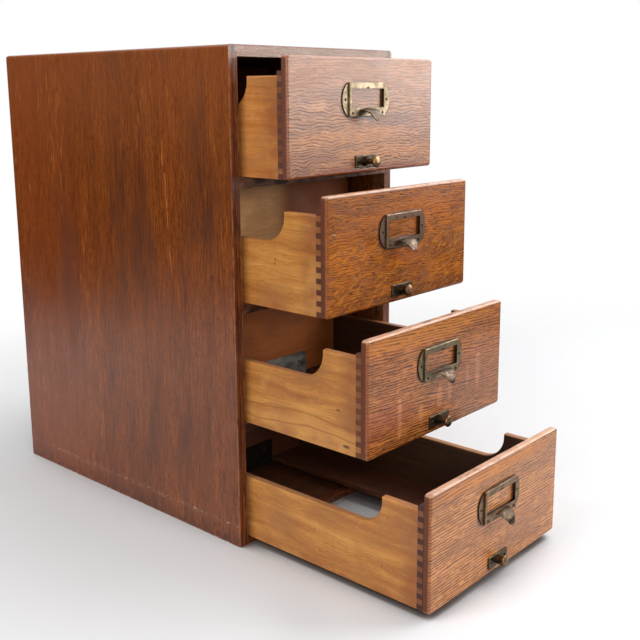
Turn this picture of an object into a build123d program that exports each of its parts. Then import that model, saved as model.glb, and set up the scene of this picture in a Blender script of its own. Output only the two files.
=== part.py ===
from build123d import *
import os

# A four-drawer oak desktop file. Millimetres, +Z up, the drawers open towards -Y.
# The origin is the centre of the footprint, on the surface that the case stands on.

# Case
case_width = 267.0
case_depth = 425.0
case_height = 547.0
side_thickness = 11.5
side_skin = 4.5
stile_depth = 18.0
top_thickness = 12.0
top_lap = 3.0
top_edge_radius = 4.5
back_thickness = 6.0
back_lap = 5.0
rail_height = 12.2
rail_depth = 45.0
rail_tenon = 4.0
tenon_setback = 4.0
tenon_shoulder = 2.0
bottom_rail_height = 8.0
bottom_rail_depth = 10.0
top_rail_depth = 22.0
tongue_height = 6.3
tongue_drop = 2.0
floor_panel_thickness = 4.0
panel_tongue = 3.0

# Drawers, counted from the top
drawer_count = 4
bay_height = 122.6
front_width = 242.6
front_height = 122.0
front_skin = 7.5
front_core = 9.5
front_core_height = 107.0
front_corner_radius = 4.0
front_edge_radius = 2.5
drawer_lift = 0.3
drawer_length = 405.0
box_width = 236.0
board = 9.5
high_side = 102.5
low_side = 70.5
high_side_end = 61.0
scoop_radius = 28.0
side_edge_radius = 2.0
back_board_height = 119.0
floor_board_bottom = 2.5
floor_board_thickness = 5.0
floor_slot_half = 52.0
groove_depth = 3.0
finger_count = 9
finger_reach = 6.5
openings = (69.3, 119.9, 171.3, 247.9)

# Runners, with a lip that guides the drawer, and the stops
runner_width = 18.0
guide_clearance = 0.4
guide_height = 14.0
guide_start = 60.0
stop_rise = 28.0
stop_width = 24.0
stop_height = 30.0
stop_clearance = 0.4

# Label pull. Heights are above the bottom of the drawer front.
pull_centre = 78.0
pull_half_width = 30.0
pull_half_height = 17.8
pull_bow = 9.5
pull_plate = 1.2
frame_relief = 3.4
frame_wall = 1.1
frame_corner_radius = 1.0
frame_edge_radius = 0.8
window_half_width = 27.4
window_low = 69.5
window_high = 89.5
hood_half_width = 18.0
hood_reach = 14.3
hood_end_reach = 10.7
hood_centre_height = 55.0
hood_wall = 1.1
hood_bed = 2.0

# The hood's rim seen from the front: its foot on the frame, shoulder, waist, flank and tip
hood_foot = (17.0, 68.2)
hood_shoulder = (12.5, 67.2)
hood_waist = (9.0, 64.0)
hood_flank = (4.5, 57.8)
hood_tip_height = 55.3

# Screws of the pull
ear_screw = 34.5
foot_screw = 25.0
foot_screw_height = 64.0

# Rod plate, rod and knob
rod_height = 12.5
rod_radius = 3.0
rod_clearance = 0.06
back_hole_clearance = 0.3
rod_length = 404.0
stub_length = 30.0
plate_half_width = 17.5
plate_half_height = 6.25
plate_thickness = 1.4
plate_corner_radius = 1.2
plate_edge_radius = 0.4
plate_screw = 13.0
bushing_radius = 5.4
bushing_length = 4.0
knob_radius = 6.2
knob_reach = 12.0
knob_thickness = 4.0
knob_rise = 1.1
knob_edge = 0.9
neck_gap = 0.4
neck_wall = 0.9
neck_flare = 1.0

# How far each rod stands out of its bushing in the photograph, from the top drawer down
rod_stand_out = (6.0, 0.5, 3.0, 0.0)

# Screws and nails
screw_head_radius = 1.7
screw_head_height = 0.6
screw_crown_radius = 1.2
screw_crown_drop = 0.12
screw_shank_radius = 0.9
screw_shank_length = 6.0
screw_slot = 0.5
screw_slot_depth = 0.36
nail_radius = 1.6
nail_proud = 0.5
nail_length = 7.0
nail_outer = 123.0
nail_inner = 26.0

# Followers, at their places in the photograph, behind the face of each front
follower_places = (250.0, 165.0, 241.0, 381.0)
follower_half_width = 105.0
follower_bottom = 8.2
follower_top = 116.5
follower_thickness = 10.0
follower_corner_radius = 8.0
follower_plate_half = 50.0
follower_plate_top = 34.0
follower_plate_thickness = 1.5
follower_plate_corner = 3.0
follower_clearance = 0.4
foot_half_width = 58.0
foot_bottom = 0.9
foot_thickness = 1.2
foot_length = 14.0
follower_screw_x = 36.0
follower_screw_z = 22.0
follower_screw_radius = 1.8

half_width = case_width / 2
inner_half = half_width - side_thickness
skin_half = half_width - side_skin
front_y = -case_depth / 2
rear_y = case_depth / 2
top_underside = case_height - top_thickness
pitch = bay_height + rail_height
box_half = box_width / 2
box_inner = box_half - board
front_depth = front_skin + front_core
follower_hole_radius = rod_radius + follower_clearance


def block(x, y, z):
    """A box from its lowest to its highest value along each axis."""
    size = [hi - lo for lo, hi in (x, y, z)]
    centre = [(hi + lo) / 2 for lo, hi in (x, y, z)]
    return Pos(*centre) * Box(*size)


def rod_along_y(radius, y_low, y_high, x, z):
    """A round bar along Y."""
    middle = (y_low + y_high) / 2
    return Pos(x, middle, z) * Rot(90, 0, 0) * Cylinder(radius, y_high - y_low)


def both_sides(shape):
    """The shape and its mirror image across the middle of the case."""
    return [shape, mirror(shape, Plane.YZ)]


def save(shapes, name):
    """One node: a single solid, or a group of separate solids."""
    solids = []
    for shape in shapes if isinstance(shapes, list) else [shapes]:
        solids += shape.solids()
    whole = solids[0] if len(solids) == 1 else Compound(children=solids)
    whole.label = name
    export_step(whole, f"parts/{name}.step")


def bay_floor(number):
    """The height of the rail that drawer NUMBER stands over."""
    return bottom_rail_height + (drawer_count - number) * pitch


# Case


def side_panel():
    """The right side: thin at the front for the stile, rabbeted for the top and the back."""
    side = block((inner_half, half_width), (front_y, rear_y), (0, case_height))
    edge = side.edges().filter_by(Axis.Y).sort_by(Axis.Z)[-2:].sort_by(Axis.X)[-1]
    side = fillet(edge, top_edge_radius)
    lap_x = inner_half + top_lap
    side -= block((inner_half, lap_x), (front_y, rear_y), (top_underside, case_height))
    tongue_top = top_underside + tongue_height - tongue_drop
    side -= block((inner_half, skin_half), (front_y, front_y + stile_depth), (0, tongue_top))
    side -= block((inner_half, inner_half + back_lap), (rear_y - back_thickness, rear_y), (0, top_underside))
    return side


def rail_tenons(number):
    """The tenons of the rail under one drawer, as one bar across the case."""
    low = bay_floor(number) - rail_height
    reach = inner_half + rail_tenon
    return block((-reach, reach), (front_y + tenon_setback, front_y + stile_depth),
                 (low + tenon_shoulder, low + rail_height - tenon_shoulder))


def make_case():
    right, left = both_sides(side_panel())
    save(right, "side_panel_right")
    save(left, "side_panel_left")

    stile_top = top_underside - tongue_drop
    stile = block((inner_half, skin_half), (front_y, front_y + stile_depth), (0, stile_top))
    for number in range(1, drawer_count):
        stile -= rail_tenons(number)
    save(both_sides(stile), "front_stiles")

    lap = inner_half + top_lap
    rail = block((-lap, lap), (front_y, front_y + top_rail_depth), (top_underside, case_height))
    tongue_z = (stile_top, stile_top + tongue_height)
    for sign in (-1, 1):
        ends = sorted((sign * inner_half, sign * skin_half))
        rail += block(ends, (front_y, front_y + stile_depth), tongue_z)
    for nail in make_nails():
        rail -= nail
    save(rail, "top_rail")

    save(block((-lap, lap), (front_y + top_rail_depth, rear_y), (top_underside, case_height)),
         "top_panel")

    rails = []
    for number in range(1, drawer_count):
        low = bay_floor(number) - rail_height
        one = block((-inner_half, inner_half), (front_y, front_y + rail_depth), (low, low + rail_height))
        rails.append(one + rail_tenons(number))
    save(rails, "divider_rails")

    save(block((-inner_half, inner_half), (front_y, front_y + bottom_rail_depth),
               (0, bottom_rail_height)), "bottom_rail")

    panel_half = inner_half - runner_width + panel_tongue
    save(block((-panel_half, panel_half), (front_y + bottom_rail_depth, rear_y - back_thickness),
               (0, floor_panel_thickness)), "bottom_panel")

    back_half = inner_half + back_lap
    save(block((-back_half, back_half), (rear_y - back_thickness, rear_y), (0, top_underside)),
         "back_panel")

    save(make_runners(), "drawer_runners")
    save(make_stops(), "drawer_stops")
    save(make_nails(), "case_nails")


def make_runners():
    """A strip under each drawer side, with a lip that keeps the drawer in line."""
    runners = []
    rear = rear_y - back_thickness
    for number in range(1, drawer_count + 1):
        top = bay_floor(number)
        lowest = number == drawer_count
        start = front_y + (bottom_rail_depth if lowest else rail_depth)
        low = 0 if lowest else top - rail_height
        strip = block((inner_half - runner_width, inner_half), (start, rear), (low, top))
        guide = block((box_half + guide_clearance, inner_half), (front_y + guide_start, rear),
                      (low, top + guide_height))
        strip += guide
        if lowest:
            tongue_x = inner_half - runner_width + panel_tongue
            strip -= block((0, tongue_x), (start, rear), (0, floor_panel_thickness))
        runners += both_sides(strip)
    return runners


def make_stops():
    """A block behind each drawer's back."""
    stops = []
    wall = rear_y - back_thickness
    closed_end = front_y + drawer_length + stop_clearance
    for number in range(1, drawer_count + 1):
        low = bay_floor(number) + stop_rise
        stop = block((inner_half - runner_width - stop_width, inner_half - runner_width),
                     (closed_end, wall), (low, low + stop_height))
        stops += both_sides(stop)
    return stops


def make_nails():
    """Round heads in the top edge, over the stiles and along the rail."""
    middle = case_height + nail_proud - nail_length / 2
    return [Pos(x, front_y + stile_depth / 2, middle) * Cylinder(nail_radius, nail_length)
            for x in (-nail_outer, -nail_inner, nail_inner, nail_outer)]


# Drawers


def finger_slots(low, high, reach_low, reach_high):
    """The fingers of one corner joint, as boxes across the thickness of the right side."""
    step = (high - low) / (2 * finger_count)
    fingers = []
    for index in range(finger_count):
        start = low + step * (2 * index + 1)
        fingers.append(block((box_inner, box_half), (reach_low, reach_high), (start, start + step)))
    return fingers


def side_outline(face, base):
    """The scooped outline of a drawer side, from the front core to the rear end."""
    front_end = face + front_depth
    rear_end = face + drawer_length - board
    scoop = face + high_side_end
    top = base + high_side
    low = base + low_side
    with BuildPart() as side:
        with BuildSketch(Plane.YZ):
            with BuildLine():
                Line((front_end, base), (front_end, top))
                Line((front_end, top), (scoop, top))
                Line((scoop, top), (scoop, low + scoop_radius))
                CenterArc((scoop + scoop_radius, low + scoop_radius), scoop_radius, 180, 90)
                Line((scoop + scoop_radius, low), (rear_end, low))
                Line((rear_end, low), (rear_end, base))
                Line((rear_end, base), (front_end, base))
            make_face()
        extrude(amount=board)
    return Pos(box_inner, 0, 0) * side.part


def drawer_side(face, base, front_fingers, rear_fingers):
    """The right side, with rounded top edges, joint fingers and the groove for the floor."""
    side = side_outline(face, base)
    top_faces = [f for f in side.faces() if f.center().Z > base + low_side - 1
                 and abs(f.normal_at().X) < 0.5]
    rims = [e for f in top_faces for e in f.edges() if abs(e.tangent_at(0.5).X) < 0.5
            and e.center().Y > face + front_depth + 1 and e.center().Z > base + low_side - 1]
    unique = []
    for edge in rims:
        if all((edge.center() - other.center()).length > 0.01 for other in unique):
            unique.append(edge)
    side = fillet(unique, side_edge_radius)
    for finger in front_fingers + rear_fingers:
        side += finger
    floor_z = (base + floor_board_bottom, base + floor_board_bottom + floor_board_thickness)
    side -= block((box_inner, box_inner + groove_depth),
                  (face + front_depth, face + drawer_length - board), floor_z)
    return side


def drawer_front(face, base, fingers):
    """The front: a rounded skin over a thicker core that takes the joints."""
    centre_z = base + front_height / 2
    skin = Pos(0, face + front_skin / 2, centre_z) * Box(front_width, front_skin, front_height)
    skin = fillet(skin.edges().filter_by(Axis.Y), front_corner_radius)
    skin = fillet(skin.faces().sort_by(Axis.Y)[0].edges(), front_edge_radius)
    core = block((-box_half, box_half), (face + front_skin, face + front_depth),
                 (base, base + front_core_height))
    front = skin + core
    for finger in fingers:
        for part in both_sides(finger):
            front -= part
    floor_z = (base + floor_board_bottom, base + floor_board_bottom + floor_board_thickness)
    for sign in (-1, 1):
        ends = sorted((sign * floor_slot_half, sign * (box_inner + groove_depth)))
        front -= block(ends, (face + front_depth - groove_depth, face + front_depth), floor_z)
    front -= rod_along_y(rod_radius + rod_clearance, face, face + front_depth, 0, base + rod_height)
    for x, seat, z in screw_places(base):
        front -= rod_along_y(screw_shank_radius, face, face - seat + screw_shank_length, x, z)
    return front


def drawer_back(face, base, fingers):
    """The high back, raised over the floor boards, with a hole for the rod's tip."""
    rear = face + drawer_length
    back = block((-box_half, box_half), (rear - board, rear), (base, base + back_board_height))
    back = fillet(back.edges().filter_by(Axis.Y).sort_by(Axis.Z)[-2:], side_edge_radius * 2)
    for finger in fingers:
        for part in both_sides(finger):
            back -= part
    over_floor = base + floor_board_bottom + floor_board_thickness
    back -= block((-box_inner, box_inner), (rear - board, rear), (base, over_floor))
    back -= rod_along_y(rod_radius + back_hole_clearance, rear - board, rear, 0, base + rod_height)
    return back


def floor_boards(face, base):
    """Two boards in the grooves, with the follower's slot between them."""
    low = base + floor_board_bottom
    right = block((floor_slot_half, box_inner), (face + front_depth - groove_depth, face + drawer_length),
                  (low, low + floor_board_thickness))
    right += block((floor_slot_half, box_inner + groove_depth),
                   (face + front_depth, face + drawer_length - board),
                   (low, low + floor_board_thickness))
    return both_sides(right)


# Brass


def bowed_plate(face, base):
    """The pull's back plate: a rectangle with a bowed ear at each end."""
    low = base + pull_centre - pull_half_height
    high = base + pull_centre + pull_half_height
    middle = (low + high) / 2
    ear = pull_half_width + pull_bow
    with BuildPart() as plate:
        with BuildSketch(Plane.XZ.offset(-face)):
            with BuildLine():
                Line((-pull_half_width, low), (pull_half_width, low))
                ThreePointArc((pull_half_width, low), (ear, middle), (pull_half_width, high))
                Line((pull_half_width, high), (-pull_half_width, high))
                ThreePointArc((-pull_half_width, high), (-ear, middle), (-pull_half_width, low))
            make_face()
        extrude(amount=pull_plate)
    return plate.part


def pull_hood():
    """The finger hood: part of a thin barrel, cut to a tongue with a curved rim.

    It is made at the origin: the drawer's face is y = 0 and its bottom edge z = 0.
    """
    middle = (0, -frame_relief - hood_reach)
    ends = [(x, -frame_relief - hood_end_reach) for x in (-hood_half_width, hood_half_width)]
    outer = [ends[0], middle, ends[1]]
    inner = [(x, y + hood_wall) for x, y in outer]
    with BuildPart() as barrel:
        with BuildSketch(Plane.XY.offset(hood_centre_height)):
            with BuildLine():
                ThreePointArc(*outer)
                ThreePointArc(*inner)
                Line(outer[0], inner[0])
                Line(outer[2], inner[2])
            make_face()
        revolve(axis=Axis((0, -frame_relief, hood_centre_height), (1, 0, 0)))
    top = hood_centre_height + hood_reach + hood_wall
    right = [hood_foot, hood_shoulder, hood_waist, hood_flank]
    left = [(-x, z) for x, z in right]
    with BuildPart() as tongue:
        with BuildSketch(Plane.XZ.offset(hood_bed)):
            with BuildLine():
                ThreePointArc(*left[:3])
                Line(left[2], left[3])
                ThreePointArc(left[3], (0, hood_tip_height), right[3])
                Line(right[3], right[2])
                ThreePointArc(right[2], right[1], right[0])
                Polyline(right[0], (right[0][0], top), (left[0][0], top), left[0])
            make_face()
        extrude(amount=frame_relief + hood_reach)
    return barrel.part & tongue.part


def label_pull(face, base):
    """Card frame and finger hood in one casting, with its screw holes."""
    pull = bowed_plate(face, base)
    low = base + window_low
    foot = base + pull_centre - pull_half_height
    top = base + pull_centre + pull_half_height
    wide = pull_half_width
    frame = block((-wide, wide), (face - frame_relief, face), (foot, top))
    frame = fillet(frame.edges().filter_by(Axis.Y), frame_corner_radius)
    frame = fillet(frame.faces().sort_by(Axis.Y)[0].edges(), frame_edge_radius)
    pull += frame
    pull -= block((-wide + frame_wall, wide - frame_wall),
                  (face - frame_relief + frame_wall, face), (low, top - frame_wall))
    pull -= block((-window_half_width, window_half_width),
                  (face - frame_relief, face), (low, base + window_high))
    pull += Pos(0, face, base) * pull_hood()
    for x, seat, z in screw_places(base)[:4]:
        pull -= rod_along_y(screw_shank_radius, face - seat, face, x, z)
    return pull


def screw_places(base):
    """Each screw's X, the thickness under its head, and its Z: ears, foot, rod plate."""
    middle = base + pull_centre
    foot = base + foot_screw_height
    low = base + rod_height
    return [(-ear_screw, pull_plate, middle), (ear_screw, pull_plate, middle),
            (-foot_screw, frame_relief, foot), (foot_screw, frame_relief, foot),
            (-plate_screw, plate_thickness, low), (plate_screw, plate_thickness, low)]


def rod_plate(face, base):
    """The plate and bushing that the rod runs through."""
    centre_z = base + rod_height
    plate = Pos(0, face - plate_thickness / 2, centre_z) * Box(
        2 * plate_half_width, plate_thickness, 2 * plate_half_height)
    plate = fillet(plate.edges().filter_by(Axis.Y), plate_corner_radius)
    plate = fillet(plate.faces().sort_by(Axis.Y)[0].edges(), plate_edge_radius)
    front = face - plate_thickness - bushing_length
    plate += rod_along_y(bushing_radius, front, face, 0, centre_z)
    plate -= rod_along_y(rod_radius + rod_clearance, front, face, 0, centre_z)
    for x, seat, z in screw_places(base)[4:]:
        plate -= rod_along_y(screw_shank_radius, face - seat, face, x, z)
    return plate


def slotted_screw(x, head_y, z):
    """A small dome-headed screw, driven along +Y, its head in front of HEAD_Y."""
    profile = [(0, -screw_head_height), (screw_crown_radius, screw_crown_drop - screw_head_height),
               (screw_head_radius, 0), (screw_shank_radius, 0),
               (screw_shank_radius, screw_shank_length), (0, screw_shank_length)]
    points = [(r, head_y + along) for r, along in profile]
    with BuildPart() as screw:
        with BuildSketch(Plane.XY):
            with BuildLine():
                Polyline(*points, close=True)
            make_face()
        revolve(axis=Axis.Y)
    body = Pos(x, 0, z) * screw.part
    slot_y = (head_y - screw_head_height, head_y - screw_head_height + screw_slot_depth)
    half = screw_slot / 2
    body -= block((x - screw_head_radius, x + screw_head_radius), slot_y, (z - half, z + half))
    return body


def drawer_screws(face, base):
    """All the screws of one drawer's brass."""
    return [slotted_screw(x, face - seat, z) for x, seat, z in screw_places(base)]


def knob_and_rod(face, base, length):
    """The turned knob on the end of its rod, pushed home."""
    back = face - plate_thickness - bushing_length - neck_gap
    tip = face - knob_reach
    rim = tip + knob_thickness
    edge = knob_radius - knob_edge
    neck = rod_radius + neck_wall
    dome_radius = (edge ** 2 + knob_rise ** 2) / (2 * knob_rise)
    dome_middle = edge / 2
    dome_drop = dome_radius - (dome_radius ** 2 - dome_middle ** 2) ** 0.5
    belly = (rim + tip + knob_rise) / 2
    with BuildPart() as knob:
        with BuildSketch(Plane.XY):
            with BuildLine():
                Polyline((0, face + length), (rod_radius, face + length), (rod_radius, back),
                         (neck, back), (neck, rim + neck_flare), (edge, rim))
                ThreePointArc((edge, rim), (knob_radius, belly), (edge, tip + knob_rise))
                ThreePointArc((edge, tip + knob_rise), (dome_middle, tip + dome_drop), (0, tip))
                Line((0, tip), (0, face + length))
            make_face()
        revolve(axis=Axis.Y)
    return Pos(0, 0, base + rod_height) * knob.part


# Followers


def follower_board(front, base):
    """The upright board behind the cards. FRONT is its front face."""
    board_z = (base + follower_bottom, base + follower_top)
    panel = block((-follower_half_width, follower_half_width), (front, front + follower_thickness), board_z)
    panel = fillet(panel.edges().filter_by(Axis.Y).sort_by(Axis.Z)[-2:], follower_corner_radius)
    panel -= rod_along_y(follower_hole_radius, front, front + follower_thickness, 0, base + rod_height)
    return panel


def follower_plate(front, base):
    """The bent steel plate on the board's face, with a foot under the floor boards."""
    back = front
    face = front - follower_plate_thickness
    leg = block((-follower_plate_half, follower_plate_half), (face, back),
                (base + foot_bottom, base + follower_plate_top))
    top_corners = leg.edges().filter_by(Axis.Y).sort_by(Axis.Z)[-2:]
    leg = fillet(top_corners, follower_plate_corner)
    foot = block((-foot_half_width, foot_half_width), (face, face + foot_length),
                 (base + foot_bottom, base + foot_bottom + foot_thickness))
    plate = leg + foot
    plate -= rod_along_y(follower_hole_radius, face, back, 0, base + rod_height)
    for sign in (-1, 1):
        plate -= rod_along_y(follower_screw_radius, face, back, sign * follower_screw_x,
                             base + follower_screw_z)
    return plate


def make_drawer(number):
    base = bay_floor(number) + drawer_lift
    face = front_y - openings[number - 1]
    rear = face + drawer_length
    front_joint = finger_slots(base, base + high_side, face + front_depth - finger_reach, face + front_depth)
    rear_joint = finger_slots(base + floor_board_bottom + floor_board_thickness,
                              base + low_side - side_edge_radius, rear - board, rear)

    save(drawer_front(face, base, front_joint), f"drawer_front_{number}")
    right, left = both_sides(drawer_side(face, base, front_joint, rear_joint))
    save(right, f"drawer_side_right_{number}")
    save(left, f"drawer_side_left_{number}")
    save(drawer_back(face, base, rear_joint), f"drawer_back_{number}")
    save(floor_boards(face, base), f"drawer_floor_{number}")

    save(label_pull(face, base), f"label_pull_{number}")
    save(rod_plate(face, base), f"rod_plate_{number}")
    save(drawer_screws(face, base), f"drawer_screws_{number}")

    follower_front = face + follower_places[number - 1]
    save(follower_board(follower_front, base), f"follower_board_{number}")
    save(follower_plate(follower_front, base), f"follower_plate_{number}")

    lowest = number == drawer_count
    rod = knob_and_rod(face, base, stub_length if lowest else rod_length)
    save(Pos(0, -rod_stand_out[number - 1], 0) * rod, f"rod_knob_{number}" if lowest else f"card_rod_{number}")


os.makedirs("parts", exist_ok=True)
make_case()
for drawer in range(1, drawer_count + 1):
    make_drawer(drawer)
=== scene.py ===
import math

import bpy
from mathutils import Matrix, Vector


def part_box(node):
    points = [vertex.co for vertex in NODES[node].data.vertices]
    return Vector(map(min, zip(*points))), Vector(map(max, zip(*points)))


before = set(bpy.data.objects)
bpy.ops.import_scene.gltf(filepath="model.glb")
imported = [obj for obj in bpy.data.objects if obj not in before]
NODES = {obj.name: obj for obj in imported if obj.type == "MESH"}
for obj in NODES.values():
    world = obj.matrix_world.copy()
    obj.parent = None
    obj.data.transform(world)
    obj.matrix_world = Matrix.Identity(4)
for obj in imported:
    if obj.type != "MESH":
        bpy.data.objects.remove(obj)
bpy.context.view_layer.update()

DRAWERS = (1, 2, 3, 4)
MM = 0.001

# The camera at the photograph's place and angle: metres, degrees and millimetres of lens

CAMERA_PLACE = (-0.7951, -0.9310, 0.5004)
CAMERA_AZIMUTH = -48.092
CAMERA_DOWN = 11.273
CAMERA_ROLL = -0.332
CAMERA_LENS = 52.935
CAMERA_SENSOR = 36
CAMERA_SHIFT = (-0.0031, -0.0656)
CAMERA_REACH = (0.05, 50)

# Measures of the part in millimetres, in the row frame

CASE_FRONT = -212.5
STILE_INNER = 122.0
STILE_OUTER = 129.0
STILE_TOP = 533.0
TONGUE_TOP = 539.2
LOWEST_RAIL_TOP = 8.0
DRAWER_PITCH = 134.8
RAIL_HEIGHT = 12.2
TOP_CORNER = (544.9, 546.3)

# Measures of a drawer: heights over its foot, depths behind its face, and places to the side of
# its middle. A pair is where a mark starts to show and where it is full.

PULL_HEIGHT = 77.2
PULL_HALF = (40.9, 19.6)
CARD_HEIGHT = 79.5
CARD_FRAME_SIDE = (24, 26)
CARD_FRAME_HEIGHT = (9.0, 10.4)
PLATE_HEIGHT = 12.2
PLATE_SHADOW_SIDE = (19.2, 18.0)
PLATE_SHADOW_HEIGHT = (7.6, 6.7)
LIP_HEIGHT = (119.6, 121.2)
END_DEPTH = (1.2, 2.8)
BEHIND_DEPTH = (6.8, 8.2)
FINGER_TIP_SIDE = (117.4, 117.8)
CALM_HEIGHT = (112, 50)
ROWS_HEIGHT = (112, 62)
FLAME_HEIGHT = (84, 60)

BOX_STAIN_DEPTH = (46, 20)
JOINT_DEPTH = (17.6, 16.6)
HEM_HEIGHT = (16, 2)
TOP_EDGE_BELOW = (1.2, 2.2)
INNER_FACE_BELOW = (8.2, 9.4)

FLANK_DEPTH = (-1.0, -0.6)
REBATE_DEPTH = (-3.0, -2.6)
REBATE_SIDE = (27.9, 27.5)
REBATE_HEIGHT = (10.5, 10.1)
NOTCH_SIDE = (2.6, 1.8)
NOTCH_HEIGHTS = (86, 88, 90.9, 91.4)
HOOD_DEPTH = (-3.8, -5.0)


def make_camera():
    azimuth = math.radians(CAMERA_AZIMUTH)
    down = math.radians(CAMERA_DOWN)
    roll = math.radians(CAMERA_ROLL)
    forward = Vector((
        -math.sin(azimuth) * math.cos(down),
        math.cos(azimuth) * math.cos(down),
        -math.sin(down),
    ))
    level_right = forward.cross(Vector((0, 0, 1))).normalized()
    level_up = level_right.cross(forward)
    right = math.cos(roll) * level_right + math.sin(roll) * level_up
    up = math.cos(roll) * level_up - math.sin(roll) * level_right
    data = bpy.data.cameras.new("camera")
    data.lens = CAMERA_LENS
    data.sensor_width = CAMERA_SENSOR
    data.shift_x, data.shift_y = CAMERA_SHIFT
    data.clip_start, data.clip_end = CAMERA_REACH
    camera = bpy.data.objects.new("camera", data)
    turn = Matrix((right, up, -forward)).transposed().to_4x4()
    camera.matrix_world = Matrix.Translation(CAMERA_PLACE) @ turn
    bpy.context.scene.collection.objects.link(camera)
    bpy.context.scene.camera = camera


# Materials


def tone(red, green, blue):
    """A colour written as on a screen, from 0 to 255, as the shader's linear values."""
    linear = []
    for part in (red, green, blue):
        share = part / 255
        linear.append(share / 12.92 if share <= 0.04045 else ((share + 0.055) / 1.055) ** 2.4)
    return (*linear, 1)


class Surface:
    """A procedural material, called s below. Its lengths are millimetres in the row frame."""

    def __init__(self, name):
        self.material = bpy.data.materials.new(name)
        self.material.use_nodes = True
        self.tree = self.material.node_tree
        self.tree.nodes.clear()
        self.shader = self.node("ShaderNodeBsdfPrincipled")
        self.output = self.node("ShaderNodeOutputMaterial")
        self.feed(self.output.inputs["Surface"], self.shader.outputs["BSDF"])
        scaled = self.node("ShaderNodeVectorMath", operation="SCALE")
        scaled.inputs["Scale"].default_value = 1 / MM
        self.feed(scaled.inputs[0], self.node("ShaderNodeTexCoord").outputs["Object"])
        self.place = scaled.outputs["Vector"]
        split = self.node("ShaderNodeSeparateXYZ")
        self.feed(split.inputs[0], self.place)
        self.axis = dict(zip("XYZ", split.outputs))

    def node(self, kind, **settings):
        made = self.tree.nodes.new(kind)
        for name, value in settings.items():
            setattr(made, name, value)
        return made

    def feed(self, socket, value):
        """Link a socket, or set its number or colour."""
        if isinstance(value, bpy.types.NodeSocket):
            self.tree.links.new(value, socket)
        else:
            socket.default_value = value

    # Arithmetic on numbers and sockets

    def math(self, operation, *values):
        made = self.node("ShaderNodeMath", operation=operation)
        for socket, value in zip(made.inputs, values):
            self.feed(socket, value)
        return made.outputs[0]

    def add(self, *values):
        total = values[0]
        for value in values[1:]:
            total = self.math("ADD", total, value)
        return total

    def times(self, *values):
        total = values[0]
        for value in values[1:]:
            total = self.math("MULTIPLY", total, value)
        return total

    def most(self, *values):
        total = values[0]
        for value in values[1:]:
            total = self.math("MAXIMUM", total, value)
        return total

    def invert(self, share):
        return self.math("SUBTRACT", 1.0, share)

    def off(self, value, middle=0.0):
        """How far value is from middle, either way."""
        return self.math("ABSOLUTE", self.math("SUBTRACT", value, middle))

    def sway(self, noise, reach):
        """Noise as a shift of half of reach at most, either way."""
        return self.times(self.math("SUBTRACT", noise, 0.5), reach)

    def between(self, value, low, high, start=0.0, end=1.0):
        """A smooth step of value from low, where it is start, to high, where it is end."""
        made = self.node("ShaderNodeMapRange", interpolation_type="SMOOTHSTEP")
        for socket, given in zip(made.inputs, (value, low, high, start, end)):
            self.feed(socket, given)
        return made.outputs[0]

    def step(self, value, origin, pair):
        """A smooth step of value between two places that are measured from origin."""
        return self.between(value, origin + pair[0], origin + pair[1])

    def band(self, value, outer_low, low, high, outer_high):
        """Full where value is from low to high, fading out to the outer limits."""
        return self.times(
            self.between(value, outer_low, low), self.between(value, outer_high, high)
        )

    # Patterns and places

    def noise(self, size, seed, detail=2.0, rough=0.5, place=None):
        """Soft noise from 0 to 1. Its blotches are about size long in X, Y and Z."""
        held = self.node("ShaderNodeMapping")
        self.feed(held.inputs["Vector"], self.place if place is None else place)
        held.inputs["Scale"].default_value = [1 / length for length in size]
        held.inputs["Location"].default_value = (7.31 * seed, 3.17 * seed, 5.71 * seed)
        made = self.node("ShaderNodeTexNoise")
        made.inputs["Scale"].default_value = 1
        made.inputs["Detail"].default_value = detail
        made.inputs["Roughness"].default_value = rough
        self.feed(made.inputs["Vector"], held.outputs["Vector"])
        return made.outputs["Fac"]

    def moved(self, axis, amount):
        """The place with amount added on one axis."""
        join = self.node("ShaderNodeCombineXYZ")
        for name, socket in zip("XYZ", join.inputs):
            value = self.axis[name]
            self.feed(socket, self.add(value, amount) if name == axis else value)
        return join.outputs[0]

    def edge(self, box, *axes):
        """The distance to the nearest of a box's faces that look along the axes."""
        nearest = None
        for name in axes:
            index = "XYZ".index(name)
            middle = (box[0][index] + box[1][index]) / 2 / MM
            half = (box[1][index] - box[0][index]) / 2 / MM
            gap = self.math("SUBTRACT", half, self.off(self.axis[name], middle))
            nearest = gap if nearest is None else self.math("MINIMUM", nearest, gap)
        return nearest

    def corner(self, box, first, second):
        """The distance to the line where a box's faces along two axes meet."""
        return self.most(self.edge(box, first), self.edge(box, second))

    # Colour and shader

    def mix(self, share, first, second):
        made = self.node("ShaderNodeMix", data_type="RGBA")
        self.feed(made.inputs[0], share)
        self.feed(made.inputs[6], first)
        self.feed(made.inputs[7], second)
        return made.outputs[2]

    def paint(self, colour, over, *shares):
        """Colour with another laid over it, as thick as the product of the shares."""
        return self.mix(self.times(*shares), colour, over)

    def ramp(self, share, *stops):
        """Colours along share. Each stop is its position and its colour."""
        made = self.node("ShaderNodeValToRGB")
        self.feed(made.inputs[0], share)
        elements = made.color_ramp.elements
        while len(elements) < len(stops):
            elements.new(1)
        for element, (position, colour) in zip(elements, stops):
            element.position = position
            element.color = colour
        return made.outputs[0]

    def bump(self, height, depth):
        made = self.node("ShaderNodeBump")
        made.inputs["Distance"].default_value = depth * MM
        self.feed(made.inputs["Height"], height)
        self.feed(self.shader.inputs["Normal"], made.outputs["Normal"])

    def finish(self, colour, roughness, metallic=0.0, gloss=0.5):
        self.feed(self.shader.inputs["Base Color"], colour)
        self.feed(self.shader.inputs["Roughness"], roughness)
        self.feed(self.shader.inputs["Metallic"], metallic)
        self.shader.inputs["Specular IOR Level"].default_value = gloss
        return self.material


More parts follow.
